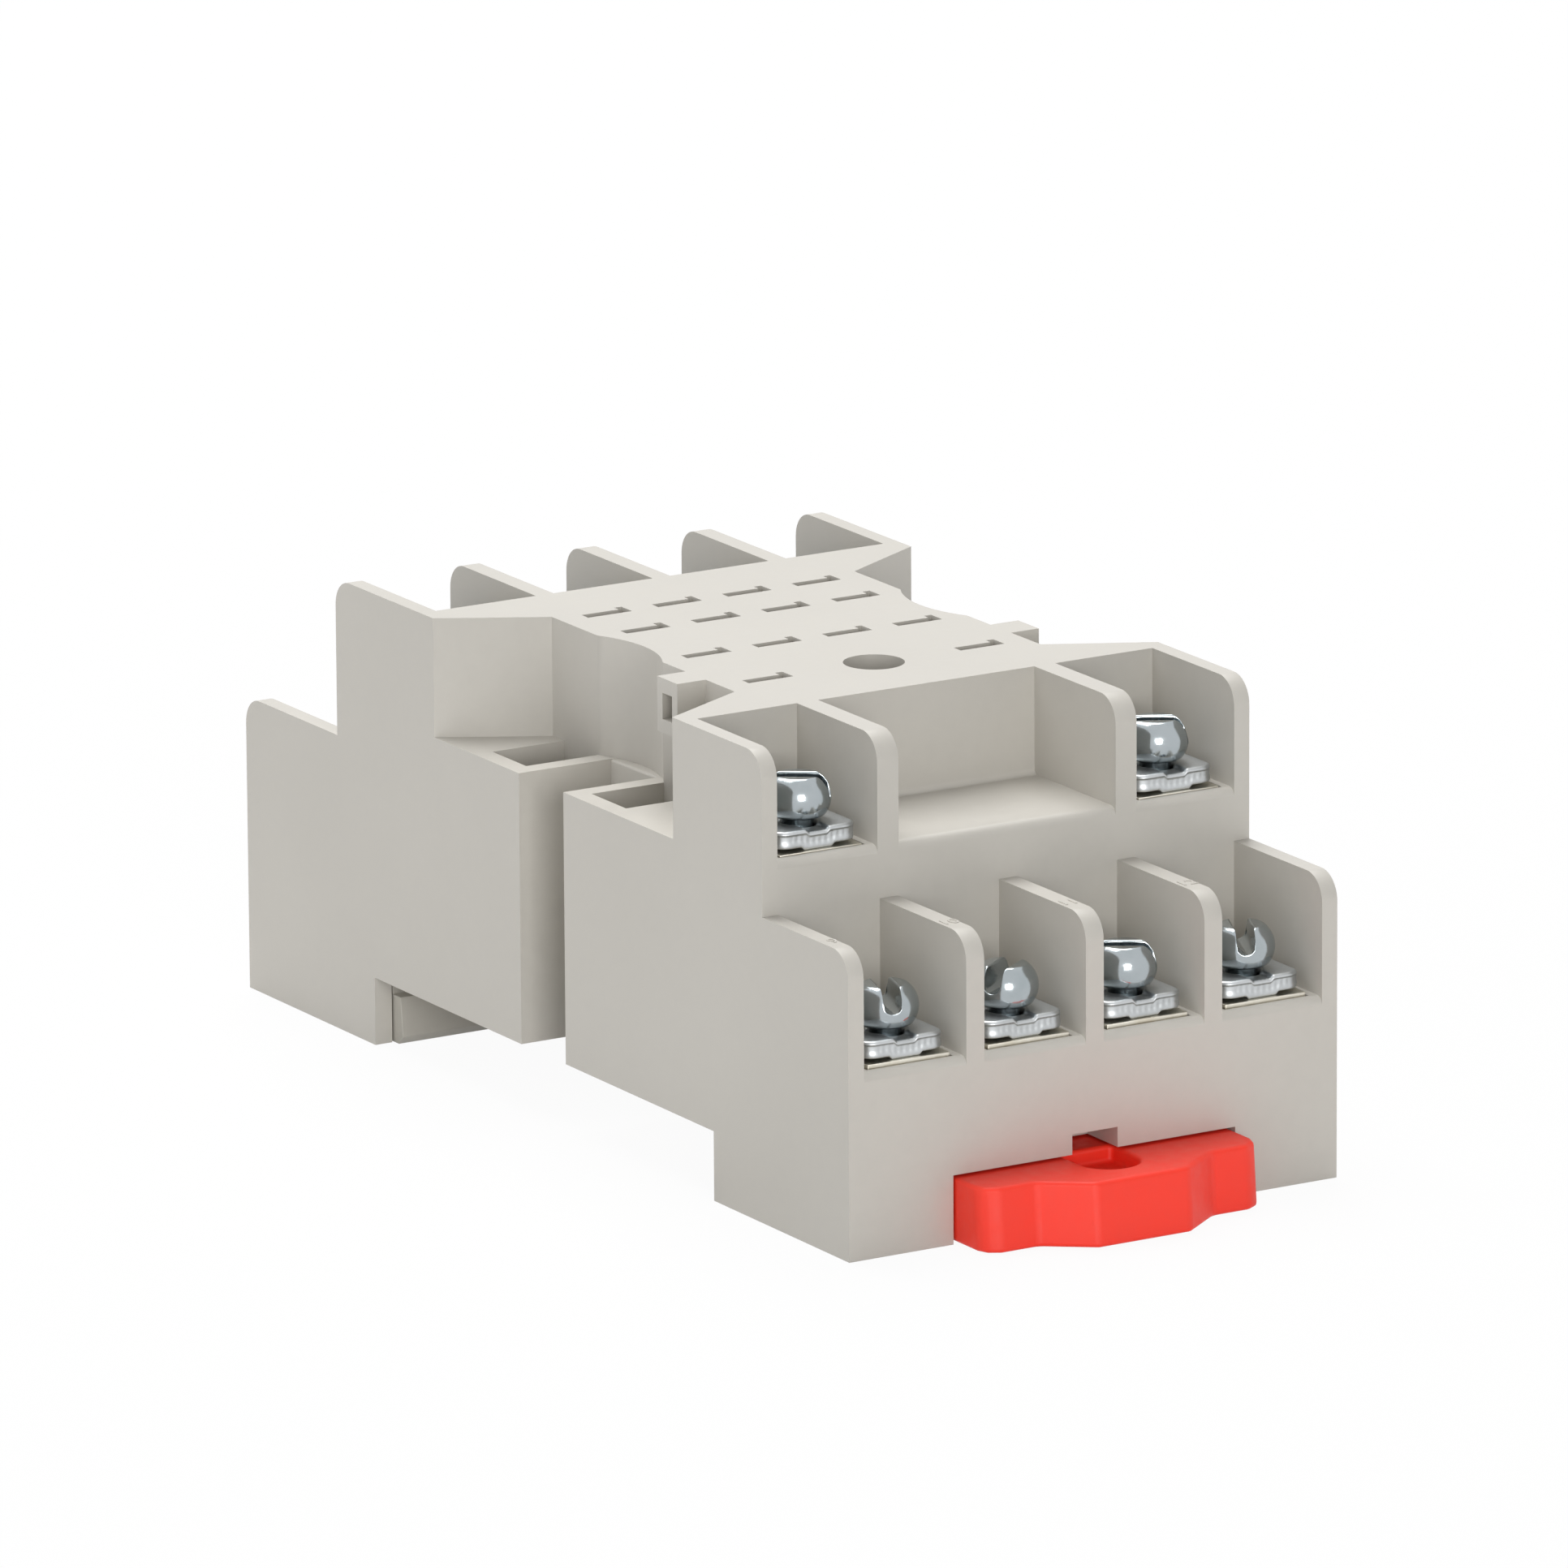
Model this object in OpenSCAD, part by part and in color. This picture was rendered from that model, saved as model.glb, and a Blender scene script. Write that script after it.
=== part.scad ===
// Fourteen-terminal relay socket for 35 mm rail or panel mounting.
// X runs along the rail, Y from the clip end to the fixed-hook end, Z up.
// Origin: middle of the housing footprint, on its underside.

/* [Housing] */
// Overall housing width along the rail
housing_width = 30.1; // [29:0.1:33]
// Overall housing length between the two terminal ends
housing_length = 63.7; // [62:0.1:68]
// Height of the relay seat and of the upper terminal decks
housing_height = 25.4; // [25:0.1:28]
// Height of the walls around the lower terminal decks
lower_deck_height = 16.6; // [16:0.1:17.6]
// Height of the low shoulders beside the relay seat
shoulder_height = 18.8; // [17.5:0.1:19.5]
// Depth of the lower deck at the clip end
near_deck_depth = 8.6; // [8:0.1:9.4]
// Depth of the lower deck at the fixed-hook end
far_deck_depth = 10.2; // [9.4:0.1:11]
// Depth of the upper bays at the clip end
near_bay_depth = 8.1; // [7.8:0.1:8.6]
// Depth of the upper bays at the fixed-hook end
far_bay_depth = 9.3; // [8.6:0.1:10]
// Thickness of the outer side walls of the terminal bays
outer_wall = 0.95; // [0.8:0.05:1.3]
// Thickness of the walls between the terminal bays
divider_wall = 1.1; // [0.9:0.05:1.4]
// Thickness of the walls beside the empty middle bay
coil_divider_wall = 1.3; // [1:0.05:1.6]
// Width of the two upper bays at the clip end
coil_bay_width = 6.1; // [5.9:0.05:6.4]
// Radius on the top outer corners of the bay walls
wall_corner_radius = 1.5; // [0.8:0.1:2.2]
// Radius on the front edge of each bay floor
lip_radius = 0.5; // [0.2:0.05:0.8]
// Floor height of the lower terminal bays
lower_floor = 10.05; // [9.6:0.05:10.5]
// Floor height of the upper terminal bays
upper_floor = 19.5; // [19.3:0.05:20]

/* [Relay seat] */
// Half width of the raised relay seat between the end blocks
seat_half_width = 9.5; // [9.2:0.1:10.2]
// Sideways pitch of the blade slots
blade_pitch = 4.38; // [4.2:0.02:4.5]
// Distance of the first slot row from the housing middle
first_row_y = 7.0; // [6.6:0.1:7.4]
// Step from the first to the second slot row
row_step_a = 4.1; // [3.9:0.05:4.4]
// Step from the second to the third slot row
row_step_b = 6.35; // [6:0.05:6.7]
// Step from the third slot row to the coil row
row_step_c = 6.35; // [6:0.05:6.7]
// Length of a blade slot
slot_length = 2.75; // [2.5:0.05:3]
// Width of a blade slot
slot_width = 0.7; // [0.5:0.05:0.9]
// Diameter of the fixing bore on the centre line
centre_bore_diameter = 3.3; // [2.8:0.1:3.6]

/* [Shoulders] */
// Width of the open panel-screw slots in the two sides
screw_slot_width = 4.7; // [4.4:0.1:5.2]
// Position of the panel-screw slots along the length
screw_slot_y = -0.4; // [-0.8:0.1:0.2]
// Radius of the driver relief beside the relay seat
relief_radius = 7.0; // [6.6:0.1:7.4]
// Depth of the pockets in the shoulders
pocket_depth = 6.0; // [3:0.5:8]
// Length of the pockets in the shoulders
pocket_length = 3.6; // [3:0.1:4]
// Projection of the latch bosses from the relay seat
boss_projection = 1.75; // [1.4:0.05:2]
// Length of the latch bosses
boss_length = 2.1; // [1.8:0.1:2.6]
// Height of the latch bosses
boss_height = 3.0; // [2.4:0.1:3.4]

/* [Rail seat] */
// Height of the rail channel under the housing
rail_channel_height = 3.8; // [3.6:0.1:4.4]
// Width of the mounting rail
rail_width = 35; // [35:1:35]
// Length of the foot at the clip end
near_foot_length = 13.7; // [13.2:0.1:14.4]
// Overhang of the hooks over the rail edge
hook_overhang = 1.0; // [0.8:0.1:1.3]
// Gap left above the hooks for the rail edge
hook_gap = 1.1; // [1.05:0.05:1.4]

/* [Terminals] */
// Distance of the screw axis behind the face of its deck
screw_inset = 3.0; // [2.8:0.1:3.6]
// Thickness of the terminal strips
strip_thickness = 0.6; // [0.5:0.05:0.8]
// Width of the clamping tab of a terminal
tab_width = 5.0; // [4.6:0.1:5.4]
// Distance of the tab edge behind the face of its deck
tab_inset = 0.65; // [0.6:0.05:0.75]
// Top of the clamping tab above the lower bay floor
lower_tab_rise = 0.2; // [0.05:0.05:0.35]
// Top of the clamping tab above the upper bay floor
upper_tab_rise = 0.05; // [0:0.05:0.3]
// Width of the strip inside the housing
run_width = 1.8; // [1.5:0.1:2]
// Width of the blade contact
contact_width = 2.6; // [2.2:0.1:2.7]
// Gap between the two leaves of a blade contact
contact_gap = 0.5; // [0.4:0.05:0.6]
// Thickness of a contact leaf
leaf_thickness = 0.35; // [0.25:0.05:0.4]

/* [Clamping screws] */
// Diameter of the screw shank
shank_diameter = 2.5; // [2.3:0.1:2.6]
// Diameter of the neck between the thread and the head
neck_diameter = 1.7; // [1.5:0.1:1.8]
// Length of the shank under the head
shank_length = 4.8; // [4.4:0.1:5.2]
// Diameter of the screw head
head_diameter = 3.3; // [3.1:0.1:3.6]
// Height of the screw head
head_height = 2.15; // [1.9:0.05:2.2]
// Radius of the crowned side of the screw head
crown_radius = 1.5; // [1.35:0.05:1.55]
// Width of the driver slot
driver_slot_width = 1.0; // [0.7:0.05:1.1]
// Width of a clamp plate
plate_width = 5.0; // [4.6:0.1:5.4]
// Length of a clamp plate
plate_length = 4.2; // [3.8:0.1:4.4]
// Thickness of a clamp plate
plate_thickness = 1.1; // [0.9:0.05:1.2]
// Radius on the corners of a clamp plate
plate_corner = 0.85; // [0.5:0.05:1.1]
// Gap between a clamp plate and the head above it
head_gap = 0.3; // [0.15:0.05:0.5]
// Step between the middle and the two wings of a clamp plate
saddle_rise = 0.17; // [0.1:0.01:0.3]

/* [Rail clip] */
// Width of the rail clip
clip_width = 17.2; // [16:0.2:18]
// Height of the rail clip
clip_height = 3.5; // [3.2:0.1:3.6]
// Projection of the clip wings from the housing
wing_projection = 3.15; // [2.6:0.05:3.6]
// Projection of the clip nose from the housing
nose_projection = 5.05; // [4.6:0.05:5.6]
// Travel of the clip between locked and released
clip_travel = 3.0; // [2:0.1:3.2]

/* [Hidden] */
$fn = 48;

half_w = housing_width / 2;
half_l = housing_length / 2;
near_upper_y = -half_l + near_deck_depth;
far_upper_y = half_l - far_deck_depth;
near_back_y = near_upper_y + near_bay_depth;
far_back_y = far_upper_y - far_bay_depth;
bay_width = (housing_width - 2 * outer_wall - 3 * divider_wall) / 4;
bay_pitch = bay_width + divider_wall;
coil_bay_x = half_w - outer_wall - coil_bay_width / 2;
middle_half = coil_bay_x - coil_bay_width / 2 - coil_divider_wall;
lower_tab_top = lower_floor + lower_tab_rise;
upper_tab_top = upper_floor + upper_tab_rise;

// Waist between the end blocks: its outer and inner corners on each side.
waist_far_out = far_back_y - 1.35;
waist_far_in = waist_far_out - 3.15;
waist_near_in = near_back_y + 3.85;
waist_near_out = near_back_y + 0.95;
boss_y = waist_near_in + 4.05;
relief_x = seat_half_width - 0.9 + relief_radius;
slot_near_y = screw_slot_y - screw_slot_width / 2;
slot_far_y = screw_slot_y + screw_slot_width / 2;
pocket_wall = 1.1;

row_1 = first_row_y;
row_2 = row_1 - row_step_a;
row_3 = row_2 - row_step_b;
coil_row = row_3 - row_step_c;

near_foot_y = -half_l + near_foot_length;
far_hook_y = near_foot_y + rail_width;
far_foot_y = far_hook_y + hook_overhang;
hook_top = rail_channel_height - hook_gap;
cover_thickness = 1.0;
cover_top = rail_channel_height + cover_thickness;
cover_half = 8.2;
cover_near_y = -12;
foot_skin = 1.05;
foot_end = 1.3;

neck_depth = 1.2;
tab_end_gap = 0.5;
foot_half = 0.8;
valley_half = 0.5;
step_run = 0.25;
slot_floor_share = 0.4;
fit_gap = 0.1;
strip_gap = 0.12;
shaft_gap = 0.2;
thread_gap = 0.05;
plate_hole_gap = 0.2;
bore_gap = 0.3;
bore_floor_gap = 0.4;

clip_base = 0.1;
clip_top = clip_base + clip_height;
clip_slot_half = clip_width / 2 + fit_gap;
clip_slot_top = clip_top + 0.15;
tongue_reach = 0.7;
tongue_low = 1.1;
tongue_high = 2.3;
tongue_front = -half_l + 1.25 + clip_travel;
tongue_back = near_foot_y - 0.8;

// Angle at which each screw has come to rest, in the order of the terminals.
screw_turns = [20, 95, 140, 60, 110, 35, 160, 80, 73, 34, 149, 66, 146, 152];

function is_near(n) = n >= 9;
function is_upper(n) = n <= 4 || n >= 13;
function out_dir(n) = is_near(n) ? -1 : 1;
function side_of(n) = n == 13 ? -1 : 1;
function bay_index(n) = (n - 1) % 4 - 1.5;
function tab_x(n) = n <= 12 ? bay_index(n) * bay_pitch : side_of(n) * coil_bay_x;
function contact_x(n) = n <= 12 ? bay_index(n) * blade_pitch : side_of(n) * 1.5 * blade_pitch;
function contact_y(n) = n <= 4 ? row_1 : n <= 8 ? row_2 : n <= 12 ? row_3 : coil_row;
function face_y(n) = is_near(n)
    ? (is_upper(n) ? near_upper_y : -half_l)
    : (is_upper(n) ? far_upper_y : half_l);
function back_y(n) = is_near(n)
    ? (is_upper(n) ? near_back_y : near_upper_y)
    : (is_upper(n) ? far_back_y : far_upper_y);
function screw_y(n) = face_y(n) - out_dir(n) * screw_inset;
function tab_top(n) = is_upper(n) ? upper_tab_top : lower_tab_top;
function run_x(n) = abs(contact_x(n)) > blade_pitch
    ? contact_x(n)
    : sign(contact_x(n)) * (centre_bore_diameter / 2 + 0.75 + run_width / 2);
function screw_turn(n) = screw_turns[n - 1];

// Stand an outline drawn in (Y, Z) upright and run it across the width.
module across(width) {
    translate([-width / 2, 0, 0])
        rotate([90, 0, 90])
            linear_extrude(width)
                children();
}

// Rectangle between two corners, grown by g on every side.
module span(x0, x1, y0, y1, g = 0) {
    translate([min(x0, x1) - g, min(y0, y1) - g])
        square([abs(x1 - x0) + 2 * g, abs(y1 - y0) + 2 * g]);
}

// Box between two corners.
module box(x0, x1, y0, y1, z0, z1) {
    translate([min(x0, x1), min(y0, y1), min(z0, z1)])
        cube([abs(x1 - x0), abs(y1 - y0), abs(z1 - z0)]);
}

// Material outside a rounded corner whose tip is at (u, v).
module corner_waste(u, v, r, du, dv) {
    difference() {
        span(u - du * r, u + du, v - dv * r, v + dv);
        translate([u - du * r, v - dv * r])
            circle(r);
    }
}

module housing_outline() {
    difference() {
        union() {
            span(-half_l, half_l, 0, lower_deck_height);
            span(near_upper_y, far_upper_y, 0, housing_height);
        }
        corner_waste(-half_l, lower_deck_height, wall_corner_radius, -1, 1);
        corner_waste(half_l, lower_deck_height, wall_corner_radius, 1, 1);
        corner_waste(near_upper_y, housing_height, wall_corner_radius, -1, 1);
        corner_waste(far_upper_y, housing_height, wall_corner_radius, 1, 1);
        span(near_foot_y, far_foot_y, -1, rail_channel_height);
    }
}

// Outline of a bay, open at the top and at the face of its deck.
module bay_outline(face, back, floor_z, dir) {
    span(back, face + dir * 1, floor_z, housing_height + 1);
    corner_waste(face, floor_z, lip_radius, dir, 1);
}

module bay(x, width, face, back, floor_z, dir) {
    translate([x, 0, 0])
        across(width)
            bay_outline(face, back, floor_z, dir);
}

module all_bays() {
    for (i = [0:3]) {
        x = (i - 1.5) * bay_pitch;
        bay(x, bay_width, -half_l, near_upper_y, lower_floor, -1);
        bay(x, bay_width, half_l, far_upper_y, lower_floor, 1);
        bay(x, bay_width, far_upper_y, far_back_y, upper_floor, 1);
    }
    for (s = [-1, 1])
        bay(s * coil_bay_x, coil_bay_width, near_upper_y, near_back_y, upper_floor, -1);
    bay(0, 2 * middle_half, near_upper_y, near_back_y, upper_floor, -1);
}

// Plan of the open waist beside the relay seat, on the +X side.
module waist_plan() {
    far_slope = (waist_far_out - waist_far_in) / (half_w - seat_half_width);
    near_slope = (waist_near_in - waist_near_out) / (half_w - seat_half_width);
    polygon([
        [seat_half_width, waist_far_in],
        [seat_half_width, waist_near_in],
        [half_w + 1, waist_near_out - near_slope],
        [half_w + 1, waist_far_out + far_slope]
    ]);
}

module latch_boss() {
    difference() {
        box(seat_half_width - 1, seat_half_width + boss_projection,
            boss_y - boss_length / 2, boss_y + boss_length / 2,
            housing_height - boss_height, housing_height + 2);
        box(seat_half_width + boss_projection - 1, seat_half_width + boss_projection + 1,
            boss_y - 0.5, boss_y + 0.5,
            housing_height - boss_height * 0.75, housing_height - boss_height * 0.27);
    }
}

// Everything removed from the +X side between the two end blocks.
module waist_cut() {
    difference() {
        translate([0, 0, shoulder_height])
            linear_extrude(housing_height)
                waist_plan();
        latch_boss();
    }
    difference() {
        translate([relief_x, screw_slot_y, shoulder_height])
            cylinder(r = relief_radius, h = housing_height);
        latch_boss();
        box(0, half_w + 20, waist_far_in, half_l, 0, housing_height * 3);
        box(0, half_w + 20, waist_near_in, -half_l, 0, housing_height * 3);
    }
    intersection() {
        translate([relief_x, screw_slot_y, 0])
            cylinder(r = relief_radius, h = shoulder_height + 1);
        box(0, half_w + 1, slot_near_y, slot_far_y, 0, shoulder_height + 1);
    }
    for (y = [slot_far_y + pocket_wall, slot_near_y - pocket_wall - pocket_length])
        box(seat_half_width, half_w - pocket_wall, y, y + pocket_length,
            shoulder_height - pocket_depth, shoulder_height + 1);
}

// Plan of a terminal strip, grown by g for the channel it lies in.
module strip_plan(n, g = 0) {
    d = out_dir(n);
    half_tab = tab_width / 2;
    half_run = run_width / 2;
    back = back_y(n);
    tab_end = back + d * tab_end_gap;
    neck_end = back - d * neck_depth;
    span(tab_x(n) - half_tab, tab_x(n) + half_tab, face_y(n) - d * tab_inset, tab_end, g);
    span(tab_x(n) - half_run, tab_x(n) + half_run, tab_end, neck_end, g);
    span(min(tab_x(n), run_x(n)) - half_run, max(tab_x(n), run_x(n)) + half_run,
        back, neck_end, g);
    span(run_x(n) - half_run, run_x(n) + half_run, back, contact_y(n), g);
    span(contact_x(n) - contact_width / 2, contact_x(n) + contact_width / 2,
        contact_y(n) - contact_gap / 2 - leaf_thickness,
        contact_y(n) + contact_gap / 2 + leaf_thickness, g);
}

// Room for one terminal: strip channel, contact shaft, blade slot, screw bore.
module terminal_room(n) {
    reach_x = contact_width / 2 + shaft_gap;
    reach_y = contact_gap / 2 + leaf_thickness + shaft_gap;
    shaft_low = is_upper(n)
        ? tab_top(n) - strip_thickness - strip_gap
        : cover_top - fit_gap;
    slot_end = contact_x(n) + slot_length / 2;
    translate([0, 0, tab_top(n) - strip_thickness - strip_gap])
        linear_extrude(strip_thickness + 2 * strip_gap)
            strip_plan(n, strip_gap);
    box(contact_x(n) - reach_x, contact_x(n) + reach_x,
        contact_y(n) - reach_y, contact_y(n) + reach_y, shaft_low, housing_height - 0.8);
    box(slot_end - slot_length, slot_end,
        contact_y(n) - slot_width / 2, contact_y(n) + slot_width / 2,
        housing_height - 2, housing_height + 1);
    box(slot_end - 0.45, slot_end, contact_y(n), contact_y(n) + slot_width / 2 + 0.45,
        housing_height - 2, housing_height + 1);
    translate([tab_x(n), screw_y(n), head_base(n) - shank_length - bore_floor_gap])
        cylinder(r = shank_diameter / 2 + bore_gap, h = shank_length + bore_floor_gap);
}

function head_base(n) = tab_top(n) + plate_thickness + head_gap;

module clip_channel() {
    box(-clip_slot_half, clip_slot_half, -half_l - 1, near_foot_y + 1, -1, clip_slot_top);
    box(-clip_slot_half - tongue_reach, clip_slot_half + tongue_reach,
        -half_l + 1.15, near_foot_y + 1, tongue_low - fit_gap, tongue_high + fit_gap);
    box(-1.4, 1.4, -half_l - 1, -half_l + 3, 0, clip_slot_top + 1.1);
}

module cover_room() {
    box(-cover_half - fit_gap, cover_half + fit_gap,
        cover_near_y - fit_gap, far_foot_y + 2, 0, cover_top + fit_gap / 2);
    box(-half_w + foot_skin, half_w - foot_skin,
        far_foot_y - 1, half_l - foot_end, -1, rail_channel_height);
}

module housing() {
    color([0.73, 0.725, 0.7])
        difference() {
            across(housing_width)
                housing_outline();
            all_bays();
            waist_cut();
            mirror([1, 0, 0])
                waist_cut();
            for (n = [1:14])
                terminal_room(n);
            translate([0, coil_row, 0])
                cylinder(r = centre_bore_diameter / 2, h = housing_height + 1);
            clip_channel();
            cover_room();
        }
}

// Moulded cover under the contacts, with the fixed rail hook on its far end.
module base_cover() {
    hook_front = far_hook_y;
    color([0.66, 0.655, 0.63])
        difference() {
            union() {
                box(-cover_half, cover_half, cover_near_y, far_foot_y + 1.9,
                    rail_channel_height, cover_top);
                across(2 * (half_w - foot_skin - fit_gap))
                    polygon([
                        [far_foot_y + 0.05, rail_channel_height - fit_gap],
                        [half_l - foot_end - fit_gap, rail_channel_height - fit_gap],
                        [half_l - foot_end - fit_gap, 0],
                        [hook_front + 0.5, 0],
                        [hook_front, 0.5],
                        [hook_front + 0.2, hook_top],
                        [far_foot_y + 0.05, hook_top]
                    ]);
                box(-cover_half, cover_half, far_foot_y + 0.3, far_foot_y + 1.9,
                    rail_channel_height - 1, cover_top);
            }
            translate([0, coil_row, 0])
                cylinder(r = centre_bore_diameter / 2, h = housing_height);
        }
}

// Terminal strip: clamping tab, run through the housing and blade contact.
module terminal(n) {
    z = tab_top(n) - strip_thickness;
    leaf_top = housing_height - 1;
    color([0.78, 0.7, 0.45])
        difference() {
            union() {
                translate([0, 0, z])
                    linear_extrude(strip_thickness)
                        strip_plan(n);
                for (s = [-1, 1])
                    translate([contact_x(n) - contact_width / 2,
                        contact_y(n) + s * (contact_gap + leaf_thickness) / 2
                        - leaf_thickness / 2, z])
                        cube([contact_width, leaf_thickness, leaf_top - z]);
            }
            translate([tab_x(n), screw_y(n), z - 1])
                cylinder(r = shank_diameter / 2 + thread_gap, h = strip_thickness + 2);
        }
}

// Front view of a clamp plate: the middle is set down between two wings.
module plate_section() {
    hw = plate_width / 2;
    edge = 0.15;
    valley = plate_thickness - saddle_rise;
    polygon([
        [-foot_half, 0], [foot_half, 0],
        [foot_half + step_run, saddle_rise],
        [hw, saddle_rise],
        [hw, plate_thickness - edge],
        [hw - edge, plate_thickness],
        [valley_half + step_run, plate_thickness],
        [valley_half, valley],
        [-valley_half, valley],
        [-valley_half - step_run, plate_thickness],
        [-hw + edge, plate_thickness],
        [-hw, plate_thickness - edge],
        [-hw, saddle_rise],
        [-foot_half - step_run, saddle_rise]
    ]);
}

// Clamp plate, captive on the neck of its screw.
module clamp_plate(n) {
    hw = plate_width / 2;
    hl = plate_length / 2;
    color([0.8, 0.81, 0.82])
        translate([tab_x(n), screw_y(n), tab_top(n)])
            intersection() {
                translate([0, hl, 0])
                    rotate([90, 0, 0])
                        linear_extrude(plate_length)
                            plate_section();
                translate([0, 0, -1])
                    linear_extrude(plate_thickness + 2)
                        difference() {
                            span(-hw, hw, -hl, hl);
                            for (u = [-1, 1], v = [-1, 1])
                                corner_waste(u * hw, v * hl, plate_corner, u, v);
                            circle(neck_diameter / 2 + plate_hole_gap);
                        }
            }
}

// Half section of a clamping screw: crowned head, neck and thread.
module screw_profile() {
    rh = head_diameter / 2;
    rs = shank_diameter / 2;
    rn = neck_diameter / 2;
    neck_end = -head_gap - plate_thickness;
    crown_x = rh - crown_radius;
    difference() {
        polygon([
            [0, head_height], [rh + 1, head_height], [rh + 1, 0], [rn, 0],
            [rn, neck_end], [rs, neck_end - (rs - rn)],
            [rs, -shank_length + 0.4], [rs - 0.4, -shank_length], [0, -shank_length]
        ]);
        difference() {
            translate([crown_x, -0.001])
                square([crown_radius + 2, head_height + 1]);
            translate([crown_x, head_height * 0.45])
                circle(crown_radius);
        }
    }
}

// Round-bottomed driver slot along X, open at the top of the head.
module driver_slot() {
    rw = driver_slot_width / 2;
    across(head_diameter + 1)
        translate([0, head_height * slot_floor_share + rw]) {
            circle(rw);
            translate([-rw, 0])
                square([2 * rw, head_height]);
        }
}

module clamp_screw(n) {
    color([0.82, 0.83, 0.84])
        translate([tab_x(n), screw_y(n), head_base(n)])
            rotate([0, 0, screw_turn(n)])
                difference() {
                    rotate_extrude()
                        screw_profile();
                    driver_slot();
                }
}

module clip_nose() {
    low = 2.75;
    high = 3.7;
    lean = wing_projection - 1.25;
    hull() {
        translate([0, 0, clip_base])
            linear_extrude(0.01)
                polygon([
                    [-low, -half_l - nose_projection], [low, -half_l - nose_projection],
                    [5.35, -half_l - wing_projection], [5.35, -half_l + 0.5],
                    [-5.35, -half_l + 0.5], [-5.35, -half_l - wing_projection]
                ]);
        translate([0, 0, clip_top - 0.01])
            linear_extrude(0.01)
                polygon([
                    [-high, -half_l - nose_projection + lean],
                    [high, -half_l - nose_projection + lean],
                    [5.7, -half_l - wing_projection + lean], [5.7, -half_l + 0.5],
                    [-5.7, -half_l + 0.5], [-5.7, -half_l - wing_projection + lean]
                ]);
    }
}

// Sliding clip: grip outside the housing, tongues in the grooves, rail hook inside.
module rail_clip() {
    half_c = clip_width / 2;
    hook_end = near_foot_y + hook_overhang;
    color([0.93, 0.2, 0.14])
        difference() {
            union() {
                intersection() {
                    across(clip_width)
                        polygon([
                            [-half_l - wing_projection, clip_base],
                            [-half_l - 1.25, clip_top],
                            [near_foot_y, clip_top],
                            [near_foot_y, hook_top - fit_gap],
                            [hook_end - 0.2, hook_top - fit_gap],
                            [hook_end, clip_base + 0.9],
                            [hook_end - 0.8, clip_base]
                        ]);
                    linear_extrude(clip_top + 1)
                        difference() {
                            span(-half_c, half_c, -half_l - wing_projection - 1, hook_end + 1);
                            corner_waste(half_c, -half_l - wing_projection, 1.1, 1, -1);
                            corner_waste(-half_c, -half_l - wing_projection, 1.1, -1, -1);
                        }
                }
                clip_nose();
                box(-half_c - tongue_reach, half_c + tongue_reach, tongue_front, tongue_back,
                    tongue_low, tongue_high);
            }
            translate([0, -half_l - 1.3, clip_top - 0.9])
                cylinder(r = 1.65, h = 2);
            box(-1.65, 1.65, -half_l - 1.3, -half_l + 1, clip_top - 0.9, clip_top + 1);
        }
}

module terminal_1() {
    terminal(1);
}

module terminal_2() {
    terminal(2);
}

module terminal_3() {
    terminal(3);
}

module terminal_4() {
    terminal(4);
}

module terminal_5() {
    terminal(5);
}

module terminal_6() {
    terminal(6);
}

module terminal_7() {
    terminal(7);
}

module terminal_8() {
    terminal(8);
}

module terminal_9() {
    terminal(9);
}

module terminal_10() {
    terminal(10);
}

module terminal_11() {
    terminal(11);
}

module terminal_12() {
    terminal(12);
}

module terminal_13() {
    terminal(13);
}

module terminal_14() {
    terminal(14);
}

module clamp_plate_1() {
    clamp_plate(1);
}

module clamp_plate_2() {
    clamp_plate(2);
}

module clamp_plate_3() {
    clamp_plate(3);
}

module clamp_plate_4() {
    clamp_plate(4);
}

module clamp_plate_5() {
    clamp_plate(5);
}

module clamp_plate_6() {
    clamp_plate(6);
}

module clamp_plate_7() {
    clamp_plate(7);
}

module clamp_plate_8() {
    clamp_plate(8);
}

module clamp_plate_9() {
    clamp_plate(9);
}

module clamp_plate_10() {
    clamp_plate(10);
}

module clamp_plate_11() {
    clamp_plate(11);
}

module clamp_plate_12() {
    clamp_plate(12);
}

module clamp_plate_13() {
    clamp_plate(13);
}

module clamp_plate_14() {
    clamp_plate(14);
}

module clamp_screw_1() {
    clamp_screw(1);
}

module clamp_screw_2() {
    clamp_screw(2);
}

module clamp_screw_3() {
    clamp_screw(3);
}

module clamp_screw_4() {
    clamp_screw(4);
}

module clamp_screw_5() {
    clamp_screw(5);
}

module clamp_screw_6() {
    clamp_screw(6);
}

module clamp_screw_7() {
    clamp_screw(7);
}

module clamp_screw_8() {
    clamp_screw(8);
}

module clamp_screw_9() {
    clamp_screw(9);
}

module clamp_screw_10() {
    clamp_screw(10);
}

module clamp_screw_11() {
    clamp_screw(11);
}

module clamp_screw_12() {
    clamp_screw(12);
}

module clamp_screw_13() {
    clamp_screw(13);
}

module clamp_screw_14() {
    clamp_screw(14);
}

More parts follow.
